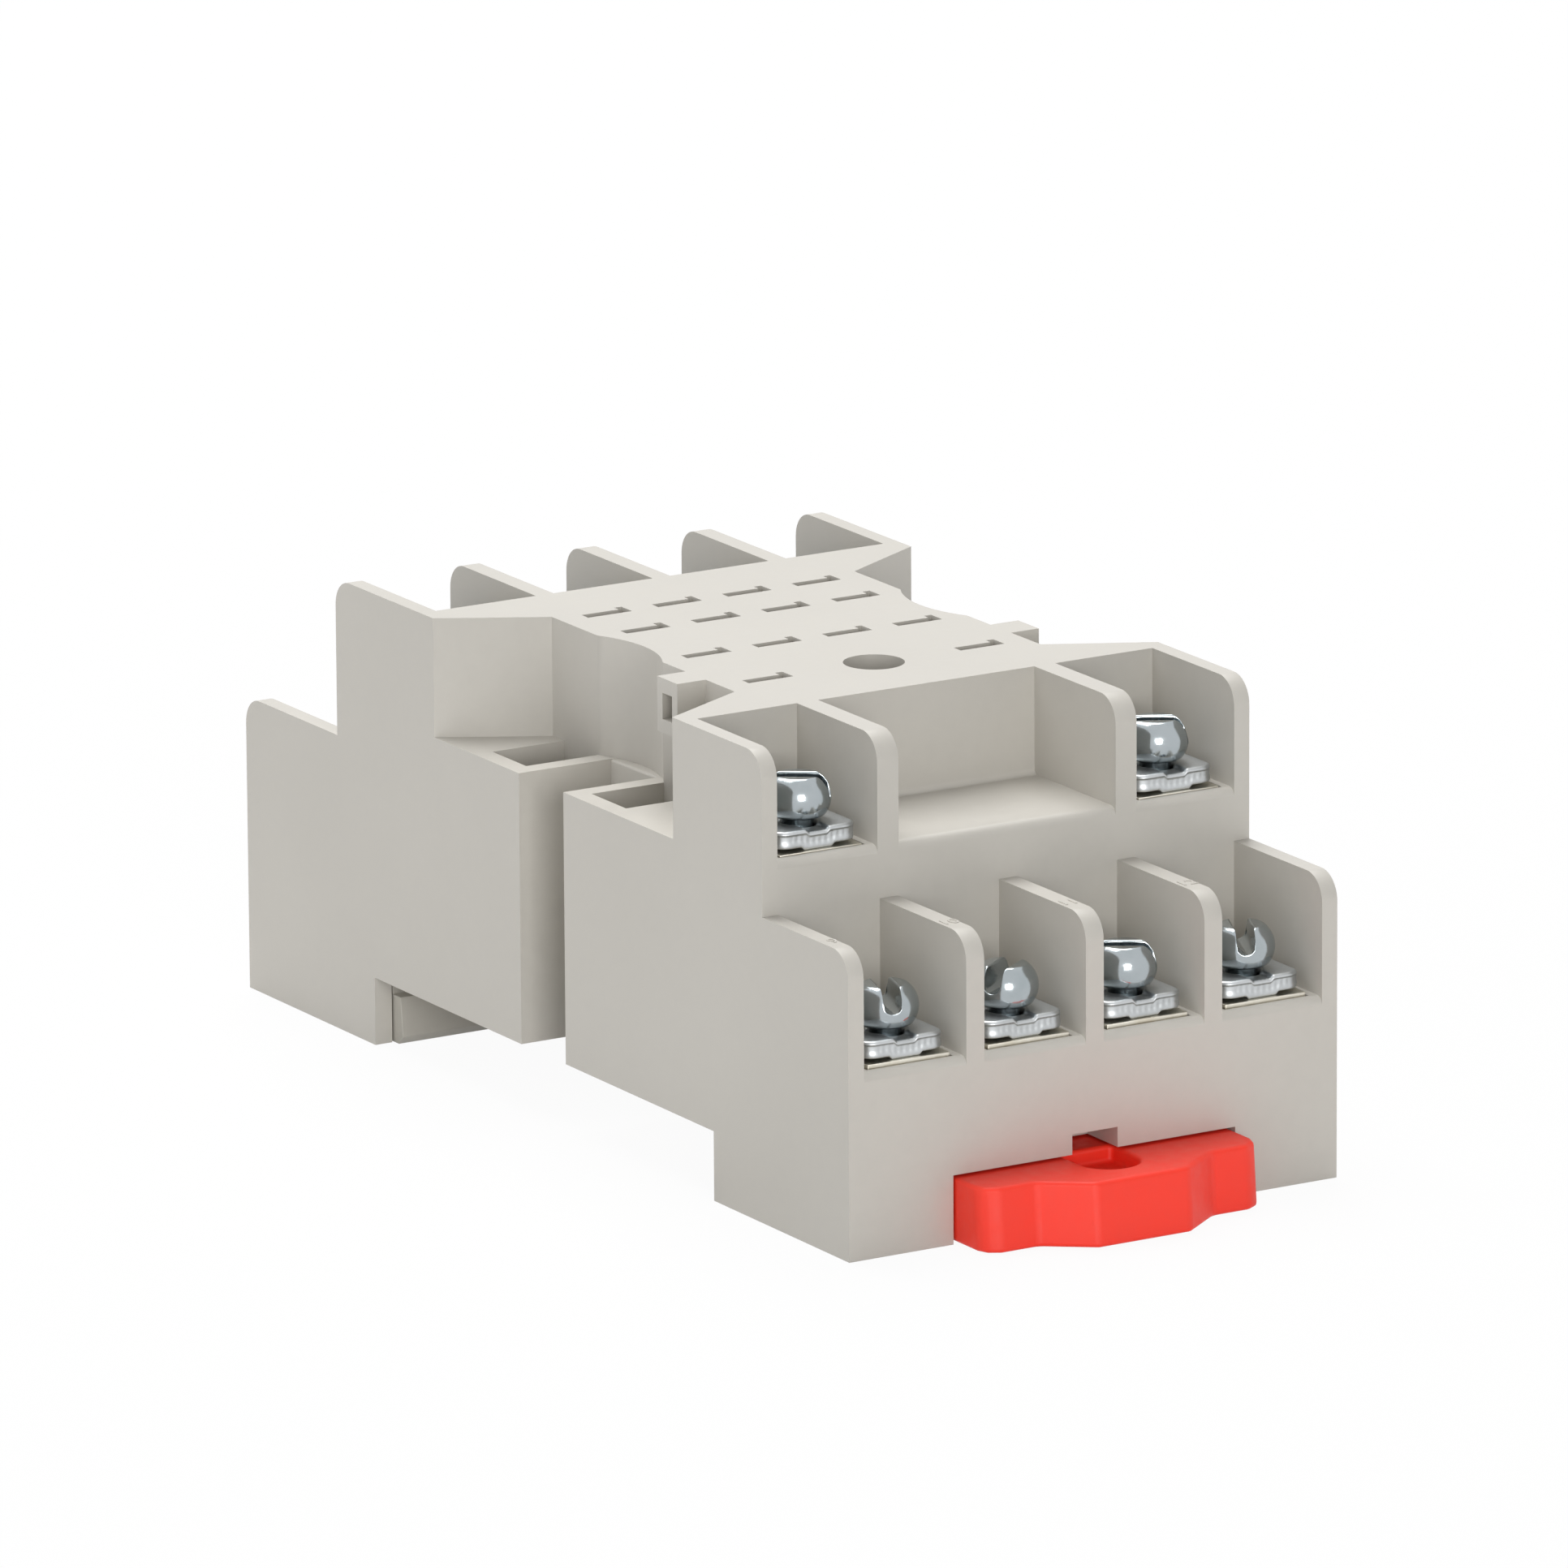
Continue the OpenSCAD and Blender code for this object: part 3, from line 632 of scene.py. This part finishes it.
def slot_outline():
    """Half of the slot's section from its edge to its middle: level top, rounded edge, wall, round floor."""
    turn = np.linspace(0.5 * math.pi, math.pi, 12)
    edge = np.column_stack([
        SLOT_HALF + SLOT_EDGE * (1 + np.cos(turn)), HEAD_HEIGHT - SLOT_EDGE * (1 - np.sin(turn))])
    turn = np.linspace(0.0, 0.5 * math.pi, 40)
    floor_arc = np.column_stack([SLOT_HALF * np.cos(turn), SLOT_FLOOR + SLOT_HALF * (1 - np.sin(turn))])
    outline = np.vstack([[[HEAD_RADIUS, HEAD_HEIGHT]], edge, floor_arc])
    return even_steps(outline, OUTLINE_STEPS)


def crown_to_slot(sine, outline):
    """The crown from its foot up to where the slot's wall cuts it. The slot is as wide as its wall divided
    by the sine, because the half-plane crosses it at that angle."""
    level = np.linspace(CROWN_FOOT, HEAD_HEIGHT, LEVEL_STEPS)
    width = crown_width(level)
    rising = outline[::-1]
    wall = np.interp(level, rising[:, 1], rising[:, 0])
    wall[level < SLOT_FLOOR] = -1.0
    wall[-1] = HEAD_RADIUS
    cut = (width * sine <= wall) & (level > SLOT_FLOOR)
    last = max(int(np.argmax(cut)) if cut.any() else len(level) - 1, 2)
    return np.column_stack([width[:last + 1], level[:last + 1]])


def slot_to_middle(sine, outline, rim):
    """The slot's outline from the rim to the axis, or the level floor where the plane runs along the slot."""
    reach = rim[0] * sine
    inside = outline[(outline[:, 0] <= reach + CLOSE) & (outline[:, 1] <= rim[1] + CLOSE)]
    if sine < LEAST_SINE or len(inside) < 3:
        return np.column_stack([np.linspace(rim[0], 0.0, FLAT_STEPS), np.full(FLAT_STEPS, SLOT_FLOOR)])
    return np.column_stack([inside[:, 0] / sine, inside[:, 1]])


def path_length(path):
    """The sum of the distances between neighbouring points."""
    return np.linalg.norm(np.diff(path, axis=0), axis=1).sum()


def head_path(sine, outline):
    """The path in one half-plane, for the sine of its angle from the slot. Crown and slot are cut back by
    the lip's length, and a curve with the old corner as its middle handle joins them."""
    crown = crown_to_slot(sine, outline)
    corner = crown[-1]
    slot = np.vstack([corner, slot_to_middle(sine, outline, corner)])
    crown, slot = even_steps(crown, CROWN_STEPS), even_steps(slot, SLOT_STEPS)
    kept = max(3, int(CROWN_STEPS * (1 - LIP / path_length(crown))))
    skipped = min(SLOT_STEPS - 10, int(SLOT_STEPS * LIP / path_length(slot)))
    crown, slot = crown[:kept], slot[skipped:]
    step = np.linspace(0.0, 1.0, 6)[1:-1, None]
    lip = (1 - step) ** 2 * crown[-1] + 2 * step * (1 - step) * corner + step ** 2 * slot[0]
    return np.vstack([even_steps(crown, CROWN_RINGS), lip, even_steps(slot, SLOT_RINGS)])[::-1]


print("screw head, mm:", 2 * HEAD_RADIUS, "wide,", HEAD_HEIGHT, "high")

# %% Screw neck and thread
NECK_RADIUS = 0.85
NECK_FILLET = 0.05
NECK_MIDDLE = -0.5
NECK_END = -0.95
SEAT_RADIUS = 1.05
THREAD_START = -1.1
THREAD_END = -4.78
SHANK_LENGTH = 4.8
THREAD_RADIUS = 1.25
THREAD_DEPTH = 0.26
THREAD_PITCH = 0.45
THREAD_RUN_IN = 0.35
THREAD_RUN_OUT = 0.45
THREAD_RINGS = 52
TIP_RADIUS = 0.45
TIP_TAPER = 0.25
SCREW_COLUMNS = 120


def neck_path():
    """Radius and level down from the head's edge: flat seat, small fillet, straight neck."""
    return np.array([
        (crown_width(0.0) - NECK_FILLET, 0.0), (SEAT_RADIUS, 0.0), (NECK_RADIUS + NECK_FILLET, 0.0),
        (NECK_RADIUS, -NECK_FILLET), (NECK_RADIUS, NECK_MIDDLE), (NECK_RADIUS, NECK_END)])


def thread_path(angle):
    """Radius and level down the thread, for every angle: the root, plus a crest that is a triangle wave of
    level over pitch plus angle over a full turn. Both ends of the thread are eased."""
    level = np.linspace(THREAD_START, THREAD_END, THREAD_RINGS)
    phase = (level[None, :] / THREAD_PITCH + angle[:, None] / (2 * math.pi)) % 1.0
    crest = 1 - np.abs(2 * phase - 1)
    start = eased((level[0] - level) / THREAD_RUN_IN)
    end = 1 - eased((-SHANK_LENGTH + THREAD_RUN_OUT - level) / THREAD_RUN_OUT)
    root = NECK_RADIUS + (THREAD_RADIUS - THREAD_DEPTH - NECK_RADIUS) * start
    root = root * (1 - TIP_TAPER * (1 - end))
    radius = root + THREAD_DEPTH * crest * start * end
    return np.stack([radius, np.broadcast_to(level, radius.shape)], axis=-1)


def screw_grid():
    """Rings from the middle of the slot over the head, under it, down the neck and the thread to the tip."""
    angle = np.linspace(0.0, 2 * math.pi, SCREW_COLUMNS, endpoint=False)
    outline = slot_outline()
    head = np.array([head_path(abs(math.sin(a)), outline) for a in angle])[:, 1:]
    neck = neck_path()
    neck = np.broadcast_to(neck, (SCREW_COLUMNS, *neck.shape))
    tip = np.broadcast_to(np.array([[TIP_RADIUS, -SHANK_LENGTH]]), (SCREW_COLUMNS, 1, 2))
    path = np.concatenate([head, neck, thread_path(angle), tip], axis=1).transpose(1, 0, 2)
    radius, level = path[..., 0], path[..., 1]
    return np.stack([radius * np.cos(angle), radius * np.sin(angle), level], axis=-1)


screw_shape = screw_grid()
print("screw rings and columns:", screw_shape.shape[:2])

# %% Place the screws
SCREW_TURNS = [20, 95, 140, 60, 110, 35, 160, 80, 73, 34, 149, 66, 146, 152]


def add_screw(number):
    """A copy of the screw, turned by its own angle, with the underside of its head where the node's is."""
    _, middle, high = box_of(f"clamp_screw_{number}")
    turn = math.radians(SCREW_TURNS[number - 1])
    spin = np.array([[math.cos(turn), -math.sin(turn), 0], [math.sin(turn), math.cos(turn), 0], [0, 0, 1]])
    seat = np.array([middle[0], middle[1], high[2] - HEAD_HEIGHT * MM])
    name = f"screw_{number}_nickel"
    mesh = grid_mesh(name, (screw_shape @ spin.T) * MM + seat)
    piece = link_piece(name, mesh, screw_nickel, f"screw_{number}")
    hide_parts(f"clamp_screw_{number}")


for number in TERMINALS:
    add_screw(number)
print("screws placed:", len(TERMINALS))

# %% [markdown]
# ## Clamp plates
#
# Each plate is stamped from zinc-plated sheet: a rounded square with a hole for the screw's neck, a shallow
# valley along the wires, and wings set a little higher than the foot. The press leaves a row of fine upright
# ribs on the edge that bites the wire. Rings run round the plate, each one between the hole's circle
# and the rounded outline, so the whole skin is one closed grid.

# %% Plate outline
PLATE_LENGTH = 5.0
PLATE_DEPTH = 4.2
PLATE_CORNER = 0.85
CORNER_POINTS = 9
RIBBED_POINTS = 58
PLAIN_POINTS = 14


def rounded_outline():
    """Points and outward directions round the plate, closer together on the two ribbed edges."""
    half_x, half_y = 0.5 * PLATE_LENGTH - PLATE_CORNER, 0.5 * PLATE_DEPTH - PLATE_CORNER
    corners = np.array([(half_x, half_y), (-half_x, half_y), (-half_x, -half_y), (half_x, -half_y)])
    points, outward = [], []
    for quarter, count in enumerate((RIBBED_POINTS, PLAIN_POINTS, RIBBED_POINTS, PLAIN_POINTS)):
        corner, following = corners[quarter], corners[(quarter + 1) % 4]
        along = quarter * 0.5 * math.pi
        turn = np.linspace(along, along + 0.5 * math.pi, CORNER_POINTS)
        ray = np.column_stack([np.cos(turn), np.sin(turn)])
        points.append(corner + PLATE_CORNER * ray)
        outward.append(ray)
        share = np.linspace(0, 1, count + 2)[1:-1, None]
        points.append((1 - share) * corner + share * following + PLATE_CORNER * ray[-1])
        outward.append(np.repeat(ray[-1:], count, axis=0))
    return np.vstack(points), np.vstack(outward)


plate_outline, plate_outward = rounded_outline()
print("points round a plate:", len(plate_outline))

# %% Plate shape
PLATE_THICKNESS = 1.1
PLATE_RISE = 0.17
VALLEY_HALF = 0.5
FOOT_HALF = 0.8
STEP_RUN = 0.25
HOLE_RADIUS = 1.05
HOLE_DIP = 0.05
TOP_EDGE = 0.20
LOW_EDGE = 0.10
RIB_PITCH = 0.36
RIB_DEPTH = 0.03
RIB_BAND = 0.03
RIB_RUN_IN = 1 / 6
RIB_END = 0.62
RIB_FADE = 0.15
TOP_RINGS = 15
TOP_EDGE_RINGS = 6
SIDE_RINGS = 8
LOW_EDGE_RINGS = 4
BOTTOM_RINGS = 9


def plate_top(x):
    """Height of the top: full thickness, less the valley's depth near the middle, with an eased step."""
    return PLATE_THICKNESS - PLATE_RISE * (1 - eased((np.abs(x) - VALLEY_HALF) / STEP_RUN))


def plate_bottom(x):
    """Height of the underside: the foot is at 0 and the wings are higher by the same rise."""
    return PLATE_RISE * eased((np.abs(x) - FOOT_HALF) / STEP_RUN)


def side_rings(outline, outward):
    """The upright side: the outline moved in by a shallow band, and by ribs that are a cosine wave along
    the edge. Both fade out below RIB_END."""
    ribbed = np.abs(outward[:, 1])
    wave = 0.5 - 0.5 * np.cos(2 * math.pi * outline[:, 0] / RIB_PITCH)
    top, bottom = plate_top(outline[:, 0]) - TOP_EDGE, plate_bottom(outline[:, 0]) + LOW_EDGE
    rings = []
    for share in np.linspace(0.0, 1.0, SIDE_RINGS):
        fade = 1 - eased((share - RIB_END) / RIB_FADE)
        depth = ribbed * fade * (RIB_DEPTH * wave * eased(share / RIB_RUN_IN) + RIB_BAND)
        rings.append(np.column_stack([outline - depth[:, None] * outward, top + (bottom - top) * share]))
    return rings


def plate_grid(outline, outward):
    """Rings from the hole's top edge over the top, down the ribbed side, back under, and up the hole."""
    bearing = np.arctan2(outline[:, 1], outline[:, 0])
    hole = HOLE_RADIUS * np.column_stack([np.cos(bearing), np.sin(bearing)])
    rings = []
    for share in np.linspace(0.0, 1.0, TOP_RINGS):
        flat = hole + (outline - TOP_EDGE * outward - hole) * share
        dip = HOLE_DIP if share == 0 else 0.0
        rings.append(np.column_stack([flat, plate_top(flat[:, 0]) - dip]))
    for turn in np.linspace(0.0, 0.5 * math.pi, TOP_EDGE_RINGS)[1:]:
        flat = outline - TOP_EDGE * (1 - math.sin(turn)) * outward
        rings.append(np.column_stack([flat, plate_top(flat[:, 0]) - TOP_EDGE * (1 - math.cos(turn))]))
    rings += side_rings(outline, outward)
    for turn in np.linspace(0.0, 0.5 * math.pi, LOW_EDGE_RINGS)[1:]:
        flat = outline - LOW_EDGE * (1 - math.cos(turn)) * outward
        rings.append(np.column_stack([flat, plate_bottom(flat[:, 0]) + LOW_EDGE * (1 - math.sin(turn))]))
    for share in np.linspace(1.0, 0.0, BOTTOM_RINGS)[1:]:
        flat = hole + (outline - LOW_EDGE * outward - hole) * share
        rings.append(np.column_stack([flat, plate_bottom(flat[:, 0])]))
    for share in (0.33, 0.66):
        rings.append(np.column_stack([hole, share * plate_top(hole[:, 0])]))
    return np.array(rings)


plate_shape = plate_grid(plate_outline, plate_outward)
print("plate rings and columns:", plate_shape.shape[:2])

# %% Place the plates
def add_plate(number):
    """A copy of the plate over the middle of its node, with its foot at the node's lowest level."""
    low, middle, _ = box_of(f"clamp_plate_{number}")
    name = f"plate_{number}_zinc"
    mesh = grid_mesh(name, plate_shape * MM + np.array([middle[0], middle[1], low[2]]), ends=False)
    piece = link_piece(name, mesh, plate_zinc, f"plate_{number}")
    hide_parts(f"clamp_plate_{number}")


for number in TERMINALS:
    add_plate(number)
print("plates placed:", len(TERMINALS))

# %% [markdown]
# ## Corner bead
#
# In the middle bay the floor runs into the back wall over a small hollow bead, as moulded corners do. It is
# one short strip: a quarter circle that opens to the viewer, closed behind by the corner of the wall.

# %% Bead in the middle bay
BEAD_RADIUS = 0.32
BEAD_BACKING = 0.1
BEAD_COLUMNS = 12
BEAD_SHARP_ANGLE = math.radians(40)
BAY_BACK = -15.15
BAY_FLOOR = 19.5
BAY_HALF = 6.85


def add_bead():
    """A ring of points for each place along the strip: the quarter circle, then the hidden corner behind."""
    turn = np.linspace(-0.5 * math.pi, 0.0, 9)
    front, top = BAY_BACK - BEAD_RADIUS, BAY_FLOOR + BEAD_RADIUS
    hollow = np.column_stack([front + BEAD_RADIUS * np.cos(turn), top + BEAD_RADIUS * np.sin(turn)])
    back, low = BAY_BACK + BEAD_BACKING, BAY_FLOOR - BEAD_BACKING
    ring = np.vstack([hollow, [(back, top), (back, low), (front, low)]])
    across = np.linspace(-BAY_HALF, BAY_HALF, BEAD_COLUMNS)
    grid = np.stack([np.column_stack([np.full(len(ring), x), ring]) for x in across]) * MM
    name = "bay_corner_bead"
    piece = link_piece(name, grid_mesh(name, grid), housing_grey, "base")
    piece.data.set_sharp_from_angle(angle=BEAD_SHARP_ANGLE)


add_bead()
print("bead radius, mm:", BEAD_RADIUS)

# %% [markdown]
# ## Rail clip
#
# The red clip is pulled by the part that stands out of the housing: a flat grip with a nose in the middle,
# a wing on each side, an upright front with a little draft, and a hollow in its top for a screwdriver tip.
# The plate inside the housing comes from the node. The grip is drawn as two outlines, one at the bottom
# and one at the top whose front stands a little further back. It is joined into one body with the plate,
# and the hollow is cut from both.

# %% Clip grip
GRIP_HALF = np.array([
    (8.6, -32.0), (8.6, -33.9), (8.36, -34.58), (7.65, -35.0), (5.4, -35.0), (2.85, -36.86)])
GRIP_OUTLINE = np.vstack([GRIP_HALF, GRIP_HALF[::-1] * (-1, 1)])
GRIP_DRAFT = 0.32
GRIP_DRAFT_FROM = -33.0
GRIP_JOINT = -32.3
HOLLOW_RADIUS = 1.65
HOLLOW_PLACE = -33.15
HOLLOW_BACK = -30.85
HOLLOW_DEPTH = 0.9 * MM
CUTTER_ABOVE = 1.0 * MM
CLIP_ROUNDING = 0.26 * MM


def loose_object(name, mesh):
    """A helper object that is used up before the end, so it rides on nothing."""
    helper = bpy.data.objects.new(name, mesh)
    bpy.context.scene.collection.objects.link(helper)
    return helper


def prism(name, low_outline, high_outline, low, high):
    """A closed body between two outlines with as many corners each. The outlines are in millimetres and
    the two levels in metres. Corner i of a level joins corner i + 1, and the corner above it."""
    count = len(low_outline)
    points = [(x * MM, y * MM, low) for x, y in low_outline]
    points += [(x * MM, y * MM, high) for x, y in high_outline]
    faces = [(i, (i + 1) % count, count + (i + 1) % count, count + i) for i in range(count)]
    faces += [tuple(range(count)), tuple(range(2 * count - 1, count - 1, -1))]
    mesh = bpy.data.meshes.new(name)
    mesh.from_pydata(points, [], faces)
    turn_faces_out(mesh)
    return loose_object(name, mesh)


def combined(first, second, operation):
    """The mesh of two closed bodies joined or cut. Both helper objects are then removed."""
    change = first.modifiers.new("combine", "BOOLEAN")
    change.operation = operation
    change.solver = "EXACT"
    change.object = second
    graph = bpy.context.evaluated_depsgraph_get()
    mesh = bpy.data.meshes.new_from_object(first.evaluated_get(graph))
    bpy.data.objects.remove(first)
    bpy.data.objects.remove(second)
    return mesh


def clip_plate_inside():
    """The node's own mesh behind the grip, closed where it is cut."""
    mesh = merged_copy("rail_clip", "clip_inside")
    work = bmesh.new()
    work.from_mesh(mesh)
    everything = list(work.verts) + list(work.edges) + list(work.faces)
    bmesh.ops.bisect_plane(work, geom=everything, plane_co=(0, GRIP_JOINT * MM, 0), plane_no=(0, -1, 0),
                           clear_outer=True)
    bmesh.ops.edgeloop_fill(work, edges=[edge for edge in work.edges if edge.is_boundary])
    work.to_mesh(mesh)
    work.free()
    turn_faces_out(mesh)
    return loose_object("clip_inside", mesh)


def hollow_outline():
    """A half circle towards the front, and straight sides back to the housing."""
    turn = np.linspace(math.pi, 2 * math.pi, 33)
    arc = np.column_stack([HOLLOW_RADIUS * np.cos(turn), HOLLOW_PLACE + HOLLOW_RADIUS * np.sin(turn)])
    return np.vstack([arc, [(HOLLOW_RADIUS, HOLLOW_BACK), (-HOLLOW_RADIUS, HOLLOW_BACK)]])


def add_clip():
    """The plate and the grip joined, the hollow cut out of both, and every edge softened."""
    low, high = (np.array(corner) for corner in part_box("rail_clip"))
    top_outline = GRIP_OUTLINE.copy()
    top_outline[top_outline[:, 1] < GRIP_DRAFT_FROM, 1] += GRIP_DRAFT
    grip = prism("clip_grip", GRIP_OUTLINE, top_outline, low[2], high[2])
    body = loose_object("clip_body", combined(clip_plate_inside(), grip, "UNION"))
    hollow = hollow_outline()
    cutter = prism("clip_hollow", hollow, hollow, high[2] - HOLLOW_DEPTH, high[2] + CUTTER_ABOVE)
    mesh = combined(body, cutter, "DIFFERENCE")
    joined_faces(mesh)
    mesh.name = "clip_moulding"
    piece = link_piece("clip_moulding", mesh, clip_red, "clip")
    soften(piece, CLIP_ROUNDING, 3)
    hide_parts("rail_clip")
    print("clip faces before rounding:", len(mesh.polygons))


add_clip()

# %% [markdown]
# ## Ledges at the waist
#
# Between the two blocks the waist has a shallow round relief for the driver. It ends on a narrow ledge,
# level with the rims of the pockets on both sides. Each ledge is one prism, laid into the relief below that
# level. Its ends run into the blocks, so only its top edge and its outer face show.

# %% Waist ledges
LEDGE_OUTLINE = [(9.35, 2.2), (9.2, -3.1), (8.4, -3.1), (8.4, 2.2)]
LEDGE_LOW = 4.0 * MM
LEDGE_TOP = 18.78 * MM
LEDGE_ROUNDING = 0.15 * MM


def add_ledge(name, side):
    """A prism over the outline, on the flank that side picks: -1 for left and 1 for right."""
    outline = [(side * x, y) for x, y in LEDGE_OUTLINE]
    form = prism(f"{name}_form", outline, outline, LEDGE_LOW, LEDGE_TOP)
    mesh = form.data
    bpy.data.objects.remove(form)
    mesh.name = name
    soften(link_piece(name, mesh, housing_grey, "base"), LEDGE_ROUNDING)


for ledge_name, flank in (("waist_ledge_left", -1), ("waist_ledge_right", 1)):
    add_ledge(ledge_name, flank)
print("ledge height, mm:", round((LEDGE_TOP - LEDGE_LOW) / MM, 2))

# %% [markdown]
# ## Raised numbers
#
# The mould carries a small plain number beside each lower terminal of the near block, raised on the top of
# the wall to its left. Each one is a text shape turned into a mesh, laid on the wall and lifted by a few
# hundredths of a millimetre. The height of the wall is found by looking straight down on the housing's
# own mesh.

# %% Numbers on the walls
NUMBER_SIZE = 1.15 * MM
NUMBER_LIFT = 0.045 * MM
NUMBER_INSET = 2.6
FRONT_FACE = -31.85
BAY_PITCH = 7.325
END_WALL_SHIFT = 0.28
LOOK_FROM = 0.1
FIRST_NUMBER = 9

housing_mesh = NODES["housing"].data
housing_tree = mathutils.bvhtree.BVHTree.FromPolygons(
    [vertex.co for vertex in housing_mesh.vertices],
    [tuple(face.vertices) for face in housing_mesh.polygons])


def wall_level(x, y):
    """The first height met by a ray straight down onto the housing, in metres."""
    place, _, _, _ = housing_tree.ray_cast(mathutils.Vector((x, y, LOOK_FROM)), mathutils.Vector((0, 0, -1)))
    return place[2]


def add_number(text, x, y):
    """A text shape, made a mesh at the origin and then moved to its place on the wall."""
    curve = bpy.data.curves.new("number", "FONT")
    curve.body = text
    curve.size = NUMBER_SIZE
    curve.extrude = NUMBER_LIFT
    curve.align_x = "CENTER"
    curve.align_y = "CENTER"
    shape = loose_object("number_shape", curve)
    graph = bpy.context.evaluated_depsgraph_get()
    mesh = bpy.data.meshes.new_from_object(shape.evaluated_get(graph))
    bpy.data.objects.remove(shape)
    mesh.transform(mathutils.Matrix.Translation((x, y, wall_level(x, y))))
    mesh.name = f"wall_number_{text}"
    link_piece(f"wall_number_{text}", mesh, housing_grey, "base")


for wall in range(4):
    wall_x = (wall - 2) * BAY_PITCH + (END_WALL_SHIFT if wall == 0 else 0.0)
    add_number(str(FIRST_NUMBER + wall), wall_x * MM, (FRONT_FACE + NUMBER_INSET) * MM)
print("numbers:", FIRST_NUMBER, "to", FIRST_NUMBER + wall)
